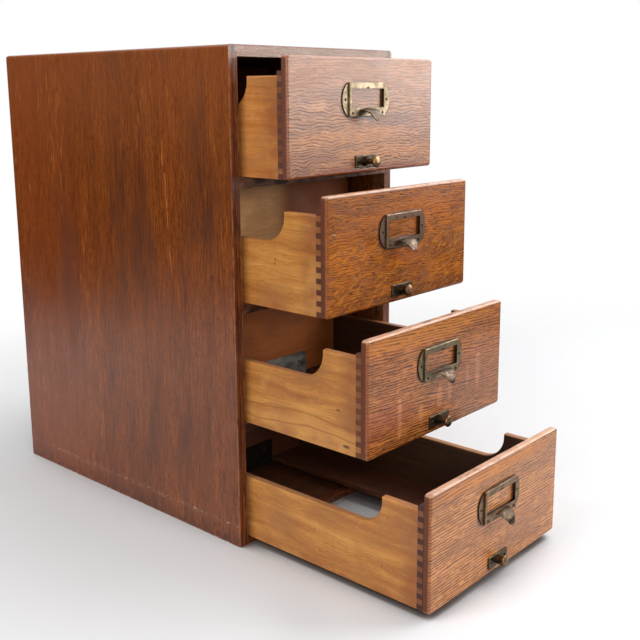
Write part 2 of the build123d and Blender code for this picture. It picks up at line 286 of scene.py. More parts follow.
def sizes(order, along, across, through):
    """Lengths along, across and through a board as X, Y, Z. The order ZYX has its grain upright."""
    given = dict(zip(order, (along, across, through)))
    return [given[name] for name in "XYZ"]


def growth_rows(s, order, seed, shift, spacing, breaks, sharp):
    """Dark growth rows along the grain, about spacing apart, broken here and there."""
    across = s.add(s.axis[order[1]], shift)
    jitter = s.noise(sizes(order, 150, spacing * 5, 60), seed, 2)
    turns = s.add(s.times(across, 1 / spacing), s.times(jitter, 3.0))
    wave = s.math("SINE", s.times(turns, 2 * math.pi))
    length, low, high = breaks
    gaps = s.noise(sizes(order, length, spacing * 0.8, 8), seed + 1, 2, 0.55)
    return s.times(s.between(wave, sharp, 0.95), s.between(gaps, low, high))


def oak(s, order, seed, tones, spacing=3.4, rows=0.5, wander=3.0, wave=(36, 1.5), slope=0.0,
        breaks=(30, 0.40, 0.58), cloud=(160, 22), pores=0.5, fibre_share=0.5, sharp=-0.1,
        fleck=0.0, calm=None):
    """Oak's colour, its height and its growth rows.

    The tones are those of the rows, the ground and the bright fibre. Rows, pores, fibre_share
    and fleck are the strength of the growth rows, the long pores, the fine fibre and the specks.
    The rows lie spacing apart, drift by wander, rise and fall in a wave of a length and a height,
    and slant by slope. Breaks is the length of their gaps and the noise at which these open and
    close, and a higher sharp makes the rows thinner. Cloud is the length and width of the darker
    patches. Calm is a mask that stills the wave.
    """
    dark, ground, bright = tones
    drift = s.noise(sizes(order, 110, 30, 60), seed, 2)
    ripple = s.noise(sizes(order, wave[0], 30, 50), seed + 1, 1.5, 0.45)
    swing = s.sway(ripple, 2 * wave[1])
    shift = s.add(s.sway(drift, 2 * wander), swing if calm is None else s.times(swing, calm))
    if slope:
        shift = s.add(shift, s.times(s.axis[order[0]], slope))
    bent = s.moved(order[1], shift)
    broad = s.noise(sizes(order, cloud[0], cloud[1], 60), seed + 2, 3, 0.55, bent)
    fibre = s.noise(sizes(order, 26, 0.8, 4), seed + 3, 4, 0.65, bent)
    dashes = s.noise(sizes(order, 9, 0.7, 2), seed + 4, 2, 0.55, bent)
    colour = s.mix(s.between(broad, 0.34, 0.66), s.mix(0.45, ground, dark), ground)
    colour = s.paint(colour, bright, s.between(fibre, 0.42, 0.70, 0, fibre_share))
    colour = s.paint(colour, dark, s.between(fibre, 0.5, 0.3, 0, fibre_share))
    lines = growth_rows(s, order, seed + 5, shift, spacing, breaks, sharp)
    mask = s.most(s.times(lines, rows), s.times(s.between(dashes, 0.42, 0.3), pores))
    if fleck:
        specks = s.noise(sizes(order, 9, 1.5, 2.5), seed + 8, 2, 0.6, bent)
        mask = s.most(mask, s.times(s.between(specks, 0.46, 0.38), fleck))
    height = s.add(s.times(mask, -1.0), s.times(fibre, 0.5))
    return s.paint(colour, dark, mask), height, lines


def spot(s, order, seed, along, across, reach_along, reach_across, ragged=0.8):
    """A soft-edged patch on a board, with its middle at along, across."""
    u = s.times(s.math("SUBTRACT", s.axis[order[0]], along), 1 / reach_along)
    v = s.times(s.math("SUBTRACT", s.axis[order[1]], across), 1 / reach_across)
    away = s.add(s.times(u, u), s.times(v, v))
    torn = s.noise(sizes(order, 22, 7, 20), seed, 3, 0.6)
    return s.between(s.add(away, s.sway(torn, 2 * ragged)), 1.0, 0.1)


def wear(node, material):
    """Give a piece of the CAD its one material."""
    slots = NODES[node].data.materials
    slots.clear()
    slots.append(material)


# Stained boards: their tones are those of the growth rows, the ground and the bright fibre

SIDE_TONES = (tone(68, 28, 10), tone(126, 62, 19), tone(174, 96, 38))
GROUND_TONES = (tone(58, 26, 13), tone(104, 50, 22), tone(148, 80, 38))
BACK_TONES = (tone(70, 36, 20), tone(128, 74, 42), tone(166, 108, 66))
STILE_TONES = (tone(36, 15, 8), tone(108, 52, 24), tone(172, 96, 48))
TOP_RAIL_TONES = (tone(98, 68, 56), tone(164, 128, 106), tone(192, 154, 130))
# The divider rails' tones are darkened as painted shade from the drawers above them.
SHADED_RAIL_TONES = (tone(34, 15, 9), tone(70, 32, 16), tone(104, 54, 28))
INSIDE_TONES = (tone(50, 25, 14), tone(90, 48, 26), tone(122, 70, 38))
FOLLOWER_TONES = {
    1: (tone(60, 30, 16), tone(104, 58, 30), tone(138, 84, 48)),
    2: (tone(142, 88, 46), tone(218, 160, 104), tone(236, 188, 134)),
    3: (tone(104, 46, 18), tone(166, 90, 38), tone(194, 118, 58)),
    4: (tone(56, 26, 14), tone(92, 46, 24), tone(122, 70, 38)),
}
FOLLOWER_LOOK = dict(rows=0.12, pores=0.2, wave=(70, 0.6), fibre_share=0.3, cloud=(60, 34))
FOLLOWER_SHADE = (-34, 4)
SEAM_TONE = tone(40, 18, 12)
GRAIN_DEPTH = 0.12

SCRATCH_AT = -125.7
SCRATCH_SLANT = -0.066
SCRATCH_HEIGHTS = (290, 320, 430, 460)
REAR = (-60, 190)
UPPER = (380, 540)
SCUFF_HEIGHT = 24
SIDE_END_SEAM = (3.6, 4.2)


def side_streaks(s, colour, seed):
    """Short orange streaks in the varnish, and one long upright scratch."""
    streak = s.noise((20, 1.7, 24), seed + 11, 2, 0.5)
    zone = s.noise((60, 40, 300), seed + 12, 1)
    streaks = s.times(s.between(streak, 0.61, 0.69), s.between(zone, 0.50, 0.62))
    colour = s.paint(colour, tone(206, 122, 54), streaks, 0.6)
    wobble = s.times(s.noise((60, 60, 30), seed + 14, 2), 8)
    line = s.add(s.axis["Y"], wobble, s.times(s.axis["Z"], SCRATCH_SLANT))
    scratch = s.between(s.off(line, SCRATCH_AT), 1.3, 0.5)
    reach = s.band(s.axis["Z"], *SCRATCH_HEIGHTS)
    broken = s.between(s.noise((20, 20, 12), seed + 15, 2), 0.42, 0.56)
    return s.paint(colour, tone(206, 122, 56), scratch, reach, broken, 0.6)


def side_edges(s, colour, box, rub):
    """Rubbed corners, and the side's front end with the seam of its stile."""
    for first, second in ("XY", "XZ", "YZ"):
        worn = s.between(s.corner(box, first, second), 1.4, 0.4)
        colour = s.paint(colour, tone(166, 112, 78), worn, s.between(rub, 0.28, 0.62), 0.7)
    end_face = s.between(s.edge(box, "Y"), 0.3, 0.1)
    end = s.times(end_face, s.between(s.edge(box, "X"), 1.0, 1.8))
    colour = s.paint(colour, tone(96, 44, 20), end, 0.7)
    seam = s.times(end_face, s.between(s.edge(box, "X"), *SIDE_END_SEAM))
    return s.paint(colour, SEAM_TONE, seam, 0.9)


def scuffs(s, height, seed):
    """Pale bruises in a low line along the case's side, and along its foot."""
    chips = s.noise((3, 5.0, 0.9), seed, 3, 0.65)
    line = s.band(s.axis["Z"], height - 3.5, height - 0.5, height + 0.5, height + 3.0)
    foot = s.between(s.axis["Z"], 2.2, 0.2)
    return s.times(s.most(line, s.times(foot, 0.8)), s.between(chips, 0.56, 0.66))


def case_side_wood(name, box, seed):
    """The case's sides: reddish towards the back, paler towards the top, with years of wear."""
    s = Surface(name)
    colour, height, _ = oak(s, "ZYX", seed, SIDE_TONES, spacing=3.1, rows=0.2, wander=4,
                            wave=(60, 1.0), breaks=(40, 0.42, 0.62), cloud=(240, 16), pores=0.4,
                            fibre_share=0.6, fleck=0.65)
    smoke = s.noise((40, 42, 170), seed + 9, 3)
    rub = s.noise((9, 9, 9), seed + 10, 3)
    colour = s.paint(colour, tone(66, 33, 19), s.between(smoke, 0.48, 0.70, 0, 0.55))
    colour = s.paint(colour, tone(150, 66, 26), s.between(s.axis["Y"], *REAR), 0.3)
    colour = s.paint(colour, tone(160, 92, 56), s.between(s.axis["Z"], *UPPER), 0.3)
    colour = side_streaks(s, colour, seed)
    colour = side_edges(s, colour, box, rub)
    grime = s.times(s.between(s.axis["Z"], 26, 2), s.between(rub, 0.3, 0.6))
    colour = s.paint(colour, tone(52, 28, 18), grime, 0.45)
    colour = s.paint(colour, tone(206, 184, 164), scuffs(s, SCUFF_HEIGHT, seed + 13), 0.85)
    s.bump(height, 0.06)
    return s.finish(colour, s.between(smoke, 0.3, 0.75, 0.22, 0.34))


def plain_oak(name, order, seed, tones, rough=(0.26, 0.4), gloss=0.5, marks=None, **look):
    """A stained oak piece. Marks adds its seams, worn corners and painted shadow."""
    s = Surface(name)
    colour, height, _ = oak(s, order, seed, tones, **look)
    if marks:
        colour = marks(s, colour)
    s.bump(height, GRAIN_DEPTH)
    haze = s.noise((30, 30, 30), seed + 9, 2)
    return s.finish(colour, s.between(haze, 0.3, 0.7, *rough), gloss=gloss)


def inside_wood(name, order, seed, tones=INSIDE_TONES, painted_shadow=False, **look):
    """Dull wood inside the case and the drawers, with a painted shadow over a board's right part
    when asked.
    """
    s = Surface(name)
    look = look or dict(rows=0.3, pores=0.4)
    colour, height, _ = oak(s, order, seed, tones, **look)
    if painted_shadow:
        # Painted shadow of the drawer above, darkening the board's right part.
        right_part = s.between(s.axis["X"], *FOLLOWER_SHADE)
        colour = s.paint(colour, tone(120, 56, 10), right_part, 0.95)
    s.bump(height, GRAIN_DEPTH)
    haze = s.noise((30, 30, 30), seed + 9, 2)
    return s.finish(colour, s.between(haze, 0.3, 0.7, 0.55, 0.7), gloss=0.3)


def stile_marks(s, colour):
    """The seam beside the side panel, and a rubbed corner at the drawers."""
    away = s.off(s.axis["X"])
    rub = s.noise((9, 9, 14), 32, 3)
    inner = s.between(away, STILE_INNER + 1.0, STILE_INNER + 0.3)
    colour = s.paint(colour, tone(170, 118, 82), inner, s.between(rub, 0.34, 0.64), 0.55)
    seam = s.between(away, STILE_OUTER - 0.8, STILE_OUTER - 0.2)
    return s.paint(colour, tone(44, 18, 12), seam, 0.9)


def rail_marks(s, colour):
    """A painted shadow under each rail and a rubbed upper corner."""
    rub = s.noise((16, 9, 9), 33, 3)
    front = s.between(s.axis["Y"], CASE_FRONT + 3.0, CASE_FRONT + 0.3)
    for step in (3, 2, 1):
        top = LOWEST_RAIL_TOP + step * DRAWER_PITCH
        under = top - RAIL_HEIGHT
        lip = s.between(s.axis["Z"], top - 1.4, top - 0.4)
        colour = s.paint(colour, tone(164, 112, 80), lip, s.between(rub, 0.36, 0.7), front, 0.35)
        # Painted shadow along the opening under the rail.
        dirt = s.band(s.axis["Z"], under - 0.8, under - 0.2, under + 0.6, under + 2.0)
        colour = s.paint(colour, tone(22, 12, 9), dirt, 0.85)
    return colour


def top_rail_marks(s, colour):
    """The tongues over the stiles in outline, a painted shadow line along their tops, and the
    reddish upper corner.
    """
    away = s.off(s.axis["X"])
    height = s.axis["Z"]
    tongue = s.times(
        s.between(height, TONGUE_TOP + 0.2, TONGUE_TOP - 0.3),
        s.between(away, STILE_INNER - 0.2, STILE_INNER),
    )
    outline = s.most(
        s.between(away, STILE_OUTER - 0.8, STILE_OUTER - 0.2),
        s.between(height, STILE_TOP + 0.7, STILE_TOP + 0.1),
        s.between(away, STILE_INNER + 0.8, STILE_INNER + 0.2),
    )
    # Painted shadow line along the top of each tongue.
    line = s.times(
        s.band(height, TONGUE_TOP - 0.6, TONGUE_TOP - 0.1, TONGUE_TOP + 0.2, TONGUE_TOP + 0.7),
        s.between(away, STILE_INNER - 0.5, STILE_INNER + 0.1),
    )
    colour = s.paint(colour, tone(126, 64, 34), tongue, 0.75)
    colour = s.paint(colour, SEAM_TONE, tongue, outline, 0.85)
    colour = s.paint(colour, SEAM_TONE, line, 0.85)
    return s.paint(colour, tone(126, 60, 34), s.between(height, *TOP_CORNER), 0.75)


def iron():
    """The dark heads of the nails."""
    s = Surface("nail_iron")
    blotch = s.noise((2, 2, 2), 311, 3, 0.6)
    colour = s.ramp(blotch, (0.35, tone(40, 30, 26)), (0.65, tone(86, 62, 50)))
    s.bump(blotch, 0.1)
    return s.finish(colour, 0.55, metallic=0.6)


def dress_case():
    for seed, side in ((3, "left"), (5, "right")):
        node = f"side_panel_{side}"
        wear(node, case_side_wood(f"oak_{node}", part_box(node), seed))
    wear("front_stiles", plain_oak("oak_stiles", "ZXY", 7, STILE_TONES, rows=0.6, spacing=2.4,
                                   gloss=0.3, marks=stile_marks, rough=(0.34, 0.48), fleck=0.6,
                                   cloud=(60, 10), fibre_share=0.8))
    wear("top_panel", plain_oak("oak_top", "YXZ", 8, GROUND_TONES, rows=0.7, wave=(40, 4),
                                fleck=0.5, gloss=0.3, rough=(0.44, 0.6)))
    wear("back_panel", plain_oak("oak_back", "ZXY", 9, BACK_TONES, rows=0.7, cloud=(200, 40),
                                 fleck=0.5, spacing=5, gloss=0.2, rough=(0.6, 0.75)))
    wear("top_rail", plain_oak("oak_top_rail", "XZY", 10, TOP_RAIL_TONES, rows=0.35, spacing=1.6,
                               fleck=0.35, wave=(60, 0.6), marks=top_rail_marks))
    wear("divider_rails", plain_oak("oak_rails", "XZY", 11, SHADED_RAIL_TONES, rows=0.5, spacing=2.2,
                                    gloss=0.2, marks=rail_marks, rough=(0.45, 0.6)))
    wear("bottom_rail", plain_oak("oak_bottom_rail", "XZY", 12, GROUND_TONES, rows=0.5,
                                  spacing=2.2))
    wear("bottom_panel", inside_wood("bottom_wood", "XYZ", 13))
    wear("drawer_runners", inside_wood("runner_wood", "YXZ", 14))
    wear("drawer_stops", inside_wood("stop_wood", "ZXY", 15))
    wear("case_nails", iron())


# Drawer fronts

FRONT_LOOKS = {
    # The first front's tones are made lighter and paler, partly as a painted sheen.
    1: dict(
        tones=(tone(98, 56, 34), tone(180, 116, 72), tone(218, 154, 102)), spacing=3.3, wander=3,
        wave=(26, 6.4), breaks=(15, 0.38, 0.50), pores=0.35, cloud=(90, 16), sharp=0.0, fleck=0.55,
    ),
    2: dict(
        tones=(tone(80, 36, 10), tone(170, 91, 22), tone(214, 134, 44)), spacing=2.7, rows=0.7,
        wander=3, wave=(20, 3.6), breaks=(12, 0.38, 0.52), pores=0.5, cloud=(80, 16), sharp=0.1,
        fleck=0.8,
    ),
    3: dict(
        tones=(tone(72, 34, 16), tone(192, 112, 52), tone(224, 148, 76)), spacing=2.9, rows=0.95,
        wander=2, wave=(70, 1.2), slope=0.06, breaks=(18, 0.36, 0.48), pores=0.35,
        cloud=(120, 20), sharp=0.0, fleck=0.7,
    ),
    4: dict(
        tones=(tone(102, 54, 26), tone(204, 132, 70), tone(232, 166, 102)), spacing=3.1, rows=1.0,
        wander=2, wave=(70, 1.0), breaks=(20, 0.36, 0.48), pores=0.4, cloud=(120, 20), sharp=0.0,
        fleck=0.55,
    ),
}

# Broad patches: colour, middle X and height over the foot, reach in X and height, and share
FRONT_PATCHES = {
    1: (
        (tone(206, 132, 74), -20, 40, 120, 12, 0.55),
        (tone(206, 132, 74), 40, 22, 110, 9, 0.6),
        (tone(140, 66, 26), 0, 1, 160, 9, 1.0),
        (tone(120, 88, 78), -30, 84, 70, 12, 0.45),
        (tone(116, 86, 78), 60, 56, 60, 10, 0.4),
        (tone(204, 146, 96), -78, 72, 24, 6, 0.5),
    ),
    2: (
        (tone(196, 112, 34), -92, 56, 40, 22, 0.3),
        (tone(176, 80, 28), 10, 52, 40, 10, 0.4),
        (tone(92, 44, 22), 40, 6, 120, 9, 0.5),
        (tone(190, 104, 38), 30, 98, 90, 14, 0.35),
    ),
    3: (
        (tone(196, 120, 40), -20, 112, 140, 14, 0.7),
        (tone(150, 72, 38), -90, 34, 56, 22, 0.5),
        (tone(214, 140, 88), -69, 32, 4.6, 27, 0.55),
        (tone(214, 140, 88), -32, 27, 5, 15, 0.5),
        (tone(214, 140, 88), 1.5, 36, 6, 16, 0.5),
        (tone(214, 140, 88), 20, 40, 5, 17, 0.42),
        (tone(220, 152, 108), 74, 50, 6, 27, 0.5),
        (tone(220, 152, 108), 54, 46, 4, 18, 0.35),
        (tone(150, 98, 74), 84, 62, 50, 40, 0.4),
    ),
    4: (
        (tone(206, 124, 40), 0, 113, 150, 8, 0.75),
        (tone(206, 124, 40), 10, 71, 26, 6, 0.6),
        (tone(206, 120, 40), -22, 20, 9, 7, 0.7),
        (tone(150, 92, 58), 70, 40, 60, 30, 0.3),
    ),
}

# Small damage: colour, middle X and height over the foot, and reach in X and height
NICKS = {
    1: ((tone(44, 30, 30), -117.3, 60, 1.6, 1.4),),
    2: ((tone(226, 210, 194), -109.7, 83.6, 3.6, 0.45), (tone(222, 190, 150), -78, 36, 2.0, 0.5)),
    3: ((tone(60, 34, 24), -96, 72, 1.6, 0.6),),
    4: ((tone(70, 34, 24), -109.2, 44.8, 1.8, 1.6), (tone(70, 34, 24), -108.1, 35.2, 1.2, 1.0)),
}
# The lip's colour: wear with a painted highlight.
LIP_WEAR_AND_HIGHLIGHT_TONES = {
    1: tone(176, 116, 76), 2: tone(226, 180, 150), 3: tone(226, 180, 150), 4: tone(226, 180, 150),
}
TIP_TONES = {1: tone(82, 42, 26), 2: tone(92, 46, 24), 3: tone(108, 58, 30), 4: tone(70, 40, 30)}
FRONT_GLOSS = {1: 0.5, 2: 0.36, 3: 0.42, 4: 0.42}


def pull_shade(s, foot):
    """Painted contact shadow under and round the label pull, but not in its window."""
    away_x = s.off(s.axis["X"])
    u = s.times(away_x, 1 / PULL_HALF[0])
    v = s.times(s.off(s.axis["Z"], foot + PULL_HEIGHT), 1 / PULL_HALF[1])
    away = s.add(s.math("POWER", u, 4.0), s.math("POWER", v, 4.0))
    beside = s.between(away_x, *CARD_FRAME_SIDE)
    above = s.between(s.off(s.axis["Z"], foot + CARD_HEIGHT), *CARD_FRAME_HEIGHT)
    return s.times(s.between(away, 1.12, 0.9), s.most(beside, above))


def plate_shade(s, foot):
    """Painted contact shadow round the rod plate."""
    beside = s.between(s.off(s.axis["X"]), *PLATE_SHADOW_SIDE)
    level = s.between(s.off(s.axis["Z"], foot + PLATE_HEIGHT), *PLATE_SHADOW_HEIGHT)
    return s.times(beside, level)


def front_flame(s, colour, foot, open_wood):
    """The golden flame and the dark mottle in the lower half of the second drawer's front."""
    slanted = s.moved("Z", s.times(s.axis["X"], -0.45))
    tiger = s.noise(sizes("XZY", 9, 3.2, 9), 91, 2, 0.6, slanted)
    low_half = s.step(s.axis["Z"], foot, FLAME_HEIGHT)
    flame = s.times(s.between(tiger, 0.56, 0.63), low_half)
    colour = s.paint(colour, tone(214, 134, 46), flame, 0.42, open_wood)
    mottle = s.noise(sizes("XZY", 22, 8, 12), 93, 3, 0.65)
    return s.paint(colour, tone(98, 66, 46), s.between(mottle, 0.56, 0.64), low_half, 0.45)


def front_rim(s, colour, n, box, foot, rub):
    """Dirt and wear along the rim of a front's face, and the lip on top: worn and lighter, with a
    painted highlight.
    """
    near = s.edge(box, "X", "Z")
    dirt = s.times(s.between(near, 5.0, 1.5), s.between(rub, 0.3, 0.62))
    colour = s.paint(colour, tone(92, 44, 20), dirt, 0.4)
    lip = s.step(s.axis["Z"], foot, LIP_HEIGHT)
    worn = s.times(s.between(near, 2.2, 0.7), s.between(rub, 0.70, 0.42))
    colour = s.paint(colour, tone(148, 78, 42), worn, s.invert(lip), 0.65)
    # The lip is painted light: wear with a painted highlight along the top edge.
    return s.paint(colour, LIP_WEAR_AND_HIGHLIGHT_TONES[n], lip, s.between(rub, 0.34, 0.6, 0.35, 1), 0.65)


def front_wood(n):
    """A quarter-sawn front: its face with marks and wear, and the darker edges behind it."""
    s = Surface(f"oak_front_{n}")
    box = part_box(f"drawer_front_{n}")
    foot = box[0][2] / MM
    face = box[0][1] / MM
    seed = 20 * n
    look = dict(FRONT_LOOKS[n])
    if n == 1:
        top, low = CALM_HEIGHT
        look["calm"] = s.between(s.axis["Z"], foot + top, foot + low, 0.25, 1.0)
        top, low = ROWS_HEIGHT
        look["rows"] = s.between(s.axis["Z"], foot + top, foot + low, 0.5, 0.95)
    colour, relief, lines = oak(s, "XZY", seed, **look)
    open_wood = s.invert(s.times(lines, 0.75))
    for index, (patch, x, z, reach_x, reach_z, share) in enumerate(FRONT_PATCHES[n]):
        mask = spot(s, "XZY", seed + 12 + index, x, foot + z, reach_x, reach_z)
        colour = s.paint(colour, patch, mask, share, open_wood)
    if n == 2:
        colour = front_flame(s, colour, foot, open_wood)
    rub = s.noise((14, 8, 8), seed + 9, 3)
    colour = front_rim(s, colour, n, box, foot, rub)
    # Painted contact shadow round the label pull and the rod plate.
    stained = s.most(pull_shade(s, foot), plate_shade(s, foot))
    colour = s.paint(colour, tone(58, 30, 20), stained, 0.75)
    for mark, x, z, reach_x, reach_z in NICKS[n]:
        nick = spot(s, "XZY", seed + 10, x, foot + z, reach_x, reach_z, 0.3)
        colour = s.paint(colour, mark, nick, 0.85)
    # The front's ends are darkened as painted shade.
    side_end = s.between(s.edge(box, "X"), 0.7, 0.15)
    ends = s.times(side_end, s.step(s.axis["Y"], face, END_DEPTH))
    colour = s.paint(colour, tone(80, 37, 20), ends, 0.85)
    behind = s.step(s.axis["Y"], face, BEHIND_DEPTH)
    colour = s.paint(colour, tone(56, 25, 15), behind)
    tips = s.between(s.off(s.axis["X"]), *FINGER_TIP_SIDE)
    colour = s.paint(colour, TIP_TONES[n], tips, behind, s.between(rub, 0.3, 0.6, 0.6, 1.0))
    s.bump(relief, 0.05)
    haze = s.noise((60, 60, 40), seed + 11, 2)
    dull = s.times(s.most(behind, ends), 0.5)
    rough = s.add(s.between(haze, 0.3, 0.7, 0.2, 0.28), dull)
    return s.finish(colour, rough, gloss=FRONT_GLOSS[n])


# Drawer boxes: low, middle and high tones of the pale wood

BOX_TONES = {
    1: (tone(156, 86, 30), tone(186, 112, 44), tone(206, 136, 62)),
    2: (tone(164, 98, 36), tone(190, 124, 50), tone(210, 148, 70)),
    3: (tone(162, 96, 38), tone(188, 124, 54), tone(212, 150, 74)),
    4: (tone(162, 96, 38), tone(190, 126, 56), tone(212, 150, 76)),
}
JOINT_SHARE = {1: 0.85, 2: 0.3, 3: 0.6, 4: 0.8}

# Where a painted shadow of the case lies on the sides, at the case's front and behind it, on the Y
# axis
CASE_SHADOW_BAND = (-222, -213.5, -205, -110)

# Dark marks on the sides: depth behind the face, height over the side's foot, and reach
DOTS = {
    1: (),
    2: ((74, 52, 1.3, 1.3), (74, 48, 1.3, 1.3)),
    3: ((40, 44, 3.4, 1.2), (29, 8, 6.5, 2.2)),
    4: ((60, 30, 1.2, 1.2), (150, 40, 1.2, 1.2)),
}

# Two dark lines across the third drawer's sides: height over the side's foot, and share
CURVED_LINES = ((28, 0.55), (14, 0.5))


def curved_lines(s, colour, foot):
    """The pale foot and the two curved lines on the third drawer's sides."""
    curve = s.sway(s.noise((60, 110, 60), 155, 2), 26)
    level = s.math("SUBTRACT", s.add(s.axis["Z"], curve), foot)
    colour = s.paint(colour, tone(222, 160, 86), s.between(level, 27, 20), 0.5)
    for middle, share in CURVED_LINES:
        line = s.between(s.off(level, middle), 1.8, 0.4)
        colour = s.paint(colour, tone(142, 72, 32), line, share)
    return colour


def box_figure(s, seed, tones):
    """The pale wood's colour, with the broad bands, the fibre and the pores that make it up."""
    low, middle, high = tones
    drift = s.sway(s.noise((30, 110, 26), seed, 2), 22)
    bent = s.moved("Z", drift)
    broad = s.noise((30, 150, 13), seed + 1, 3, 0.5, bent)
    fibre = s.noise((4, 40, 1.2), seed + 2, 4, 0.62, bent)
    ray = s.noise((3, 6, 1.0), seed + 3, 2, 0.5, bent)
    pore = s.noise((3, 10, 0.6), seed + 4, 2, 0.5, bent)
    colour = s.ramp(broad, (0.3, low), (0.5, middle), (0.74, high))
    turns = s.times(s.add(s.axis["Z"], drift), 1 / 6.5)
    rings = s.math("SINE", s.times(s.add(turns, s.times(broad, 5.0)), 2 * math.pi))
    colour = s.paint(colour, tone(140, 82, 38), s.between(rings, 0.55, 1.0, 0, 0.24))
    colour = s.paint(colour, tone(138, 80, 36), s.between(fibre, 0.54, 0.34, 0, 0.3))
    colour = s.paint(colour, tone(214, 162, 96), s.between(ray, 0.56, 0.7, 0, 0.3))
    colour = s.paint(colour, tone(112, 62, 30), s.between(pore, 0.40, 0.30, 0, 0.45))
    return colour, broad, fibre, pore


def box_marks(s, colour, n, seed, face, foot):
    """Stains, clouds, a painted shadow beside the case, dirt and dots on a drawer's sides."""
    stain = s.noise((40, 26, 14), seed + 5, 3)
    behind_front = s.step(s.axis["Y"], face, BOX_STAIN_DEPTH)
    darker = s.between(stain, 0.3, 0.6, 0.45, 1)
    colour = s.paint(colour, tone(132, 70, 34), behind_front, darker, 0.7)
    if n == 3:
        colour = curved_lines(s, colour, foot)
    joint = s.step(s.axis["Y"], face, JOINT_DEPTH)
    colour = s.paint(colour, tone(92, 44, 24), joint, JOINT_SHARE[n])
    cloud = s.noise((40, 60, 46), seed + 6, 3, 0.55)
    colour = s.paint(colour, tone(150, 96, 52), s.between(cloud, 0.48, 0.66, 0, 0.4))
    colour = s.paint(colour, tone(216, 158, 86), s.between(cloud, 0.46, 0.30, 0, 0.4))
    # Painted shadow that the case's stile casts on the sides.
    beside_case = s.band(s.axis["Y"], *CASE_SHADOW_BAND)
    colour = s.paint(colour, tone(96, 52, 28), beside_case, 0.2)
    hem = s.times(s.step(s.axis["Z"], foot, HEM_HEIGHT), s.between(stain, 0.62, 0.36))
    colour = s.paint(colour, tone(138, 72, 34), hem, 0.5)
    for depth, height, reach_y, reach_z in DOTS[n]:
        dot = spot(s, "YZX", seed + 7, face + depth, foot + height, reach_y, reach_z, 0.25)
        colour = s.paint(colour, tone(66, 34, 20), dot, 0.85)
    return colour


def box_wood(n):
    """The wood of a drawer's sides and back: aged honey outside, dark inside, with a painted
    highlight along the top edge.
    """
    s = Surface(f"light_wood_{n}")
    seed = 100 + 20 * n
    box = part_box(f"drawer_side_right_{n}")
    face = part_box(f"drawer_front_{n}")[0][1] / MM
    colour, broad, fibre, pore = box_figure(s, seed, BOX_TONES[n])
    colour = box_marks(s, colour, n, seed, face, box[0][2] / MM)
    below_skin = s.math("SUBTRACT", box[1][0] / MM, s.off(s.axis["X"]))
    inner = s.between(below_skin, *INNER_FACE_BELOW)
    dark = s.mix(s.between(fibre, 0.36, 0.66), tone(36, 17, 10), tone(68, 35, 19))
    colour = s.paint(colour, dark, inner, 0.95)
    # Painted highlight along the sides' top edge.
    top = s.times(s.between(below_skin, *TOP_EDGE_BELOW), s.invert(inner))
    colour = s.paint(colour, tone(150, 100, 74), top, 0.6)
    s.bump(s.add(s.times(fibre, 0.6), s.times(broad, 0.6), s.times(pore, 0.4)), 0.08)
    return s.finish(colour, s.between(broad, 0.3, 0.7, 0.46, 0.58))


# Metals: clean, dull and stained tones of the brass

SCREW_TONES = (tone(60, 48, 38), tone(42, 32, 26), tone(26, 20, 17))
PLATE_TONES = (tone(104, 90, 68), tone(72, 60, 48), tone(42, 34, 28))
KNOB_TONES = (tone(138, 106, 74), tone(100, 76, 54), tone(60, 44, 34))
PULL_TONES = {
    1: (tone(136, 120, 98), tone(110, 96, 76), tone(74, 60, 46)),
    2: (tone(128, 104, 84), tone(100, 80, 64), tone(66, 52, 42)),
    3: (tone(134, 118, 90), tone(106, 92, 70), tone(72, 58, 44)),
    4: (tone(132, 106, 80), tone(102, 80, 60), tone(66, 50, 38)),
}
ROD_STRETCH = 9


def pull_marks(s, colour, drawer, seed):
    """The bronze hood, and the dark flanks, rebate and notch of a label pull."""
    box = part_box(f"drawer_front_{drawer}")
    face = box[0][1] / MM
    foot = box[0][2] / MM
    away = s.off(s.axis["X"])
    level = s.off(s.axis["Z"], foot + CARD_HEIGHT)
    flank = s.step(s.axis["Y"], face, FLANK_DEPTH)
    rebate = s.times(
        s.between(away, *REBATE_SIDE),
        s.between(level, *REBATE_HEIGHT),
        s.step(s.axis["Y"], face, REBATE_DEPTH),
    )
    notch_level = s.band(s.axis["Z"], *(foot + height for height in NOTCH_HEIGHTS))
    notch = s.times(s.between(away, *NOTCH_SIDE), notch_level)
    hood = s.step(s.axis["Y"], face, HOOD_DEPTH)
    rubbed = s.between(s.noise((7, 5, 3), seed + 3, 3, 0.6), 0.5, 0.7)
    bronze = s.mix(rubbed, tone(64, 52, 42), tone(120, 100, 80))
    colour = s.paint(colour, bronze, hood, 0.9)
    return s.paint(colour, tone(38, 28, 22), s.most(flank, rebate, notch))


def brass(name, seed, tones, drawer=None, stretch=1):
    """Aged brass. Stretch draws its patina out along a rod, and drawer marks that drawer's pull."""
    clean, dull, stained = tones
    s = Surface(name)
    blotch = s.noise((9, 9 * stretch, 9), seed, 4, 0.6)
    grains = s.noise((1.2, 1.2 * stretch, 1.2), seed + 1, 3, 0.6)
    streak = s.noise((12, 3 * stretch, 1.0), seed + 2, 3, 0.6)
    colour = s.mix(s.between(blotch, 0.36, 0.62), clean, dull)
    colour = s.paint(colour, stained, s.between(streak, 0.52, 0.7, 0, 0.45))
    colour = s.paint(colour, stained, s.between(grains, 0.56, 0.72, 0, 0.5))
    if drawer:
        colour = pull_marks(s, colour, drawer, seed)
    s.bump(s.add(grains, s.times(blotch, 1.5)), 0.05)
    return s.finish(colour, s.between(blotch, 0.3, 0.7, 0.26, 0.44), metallic=1.0)


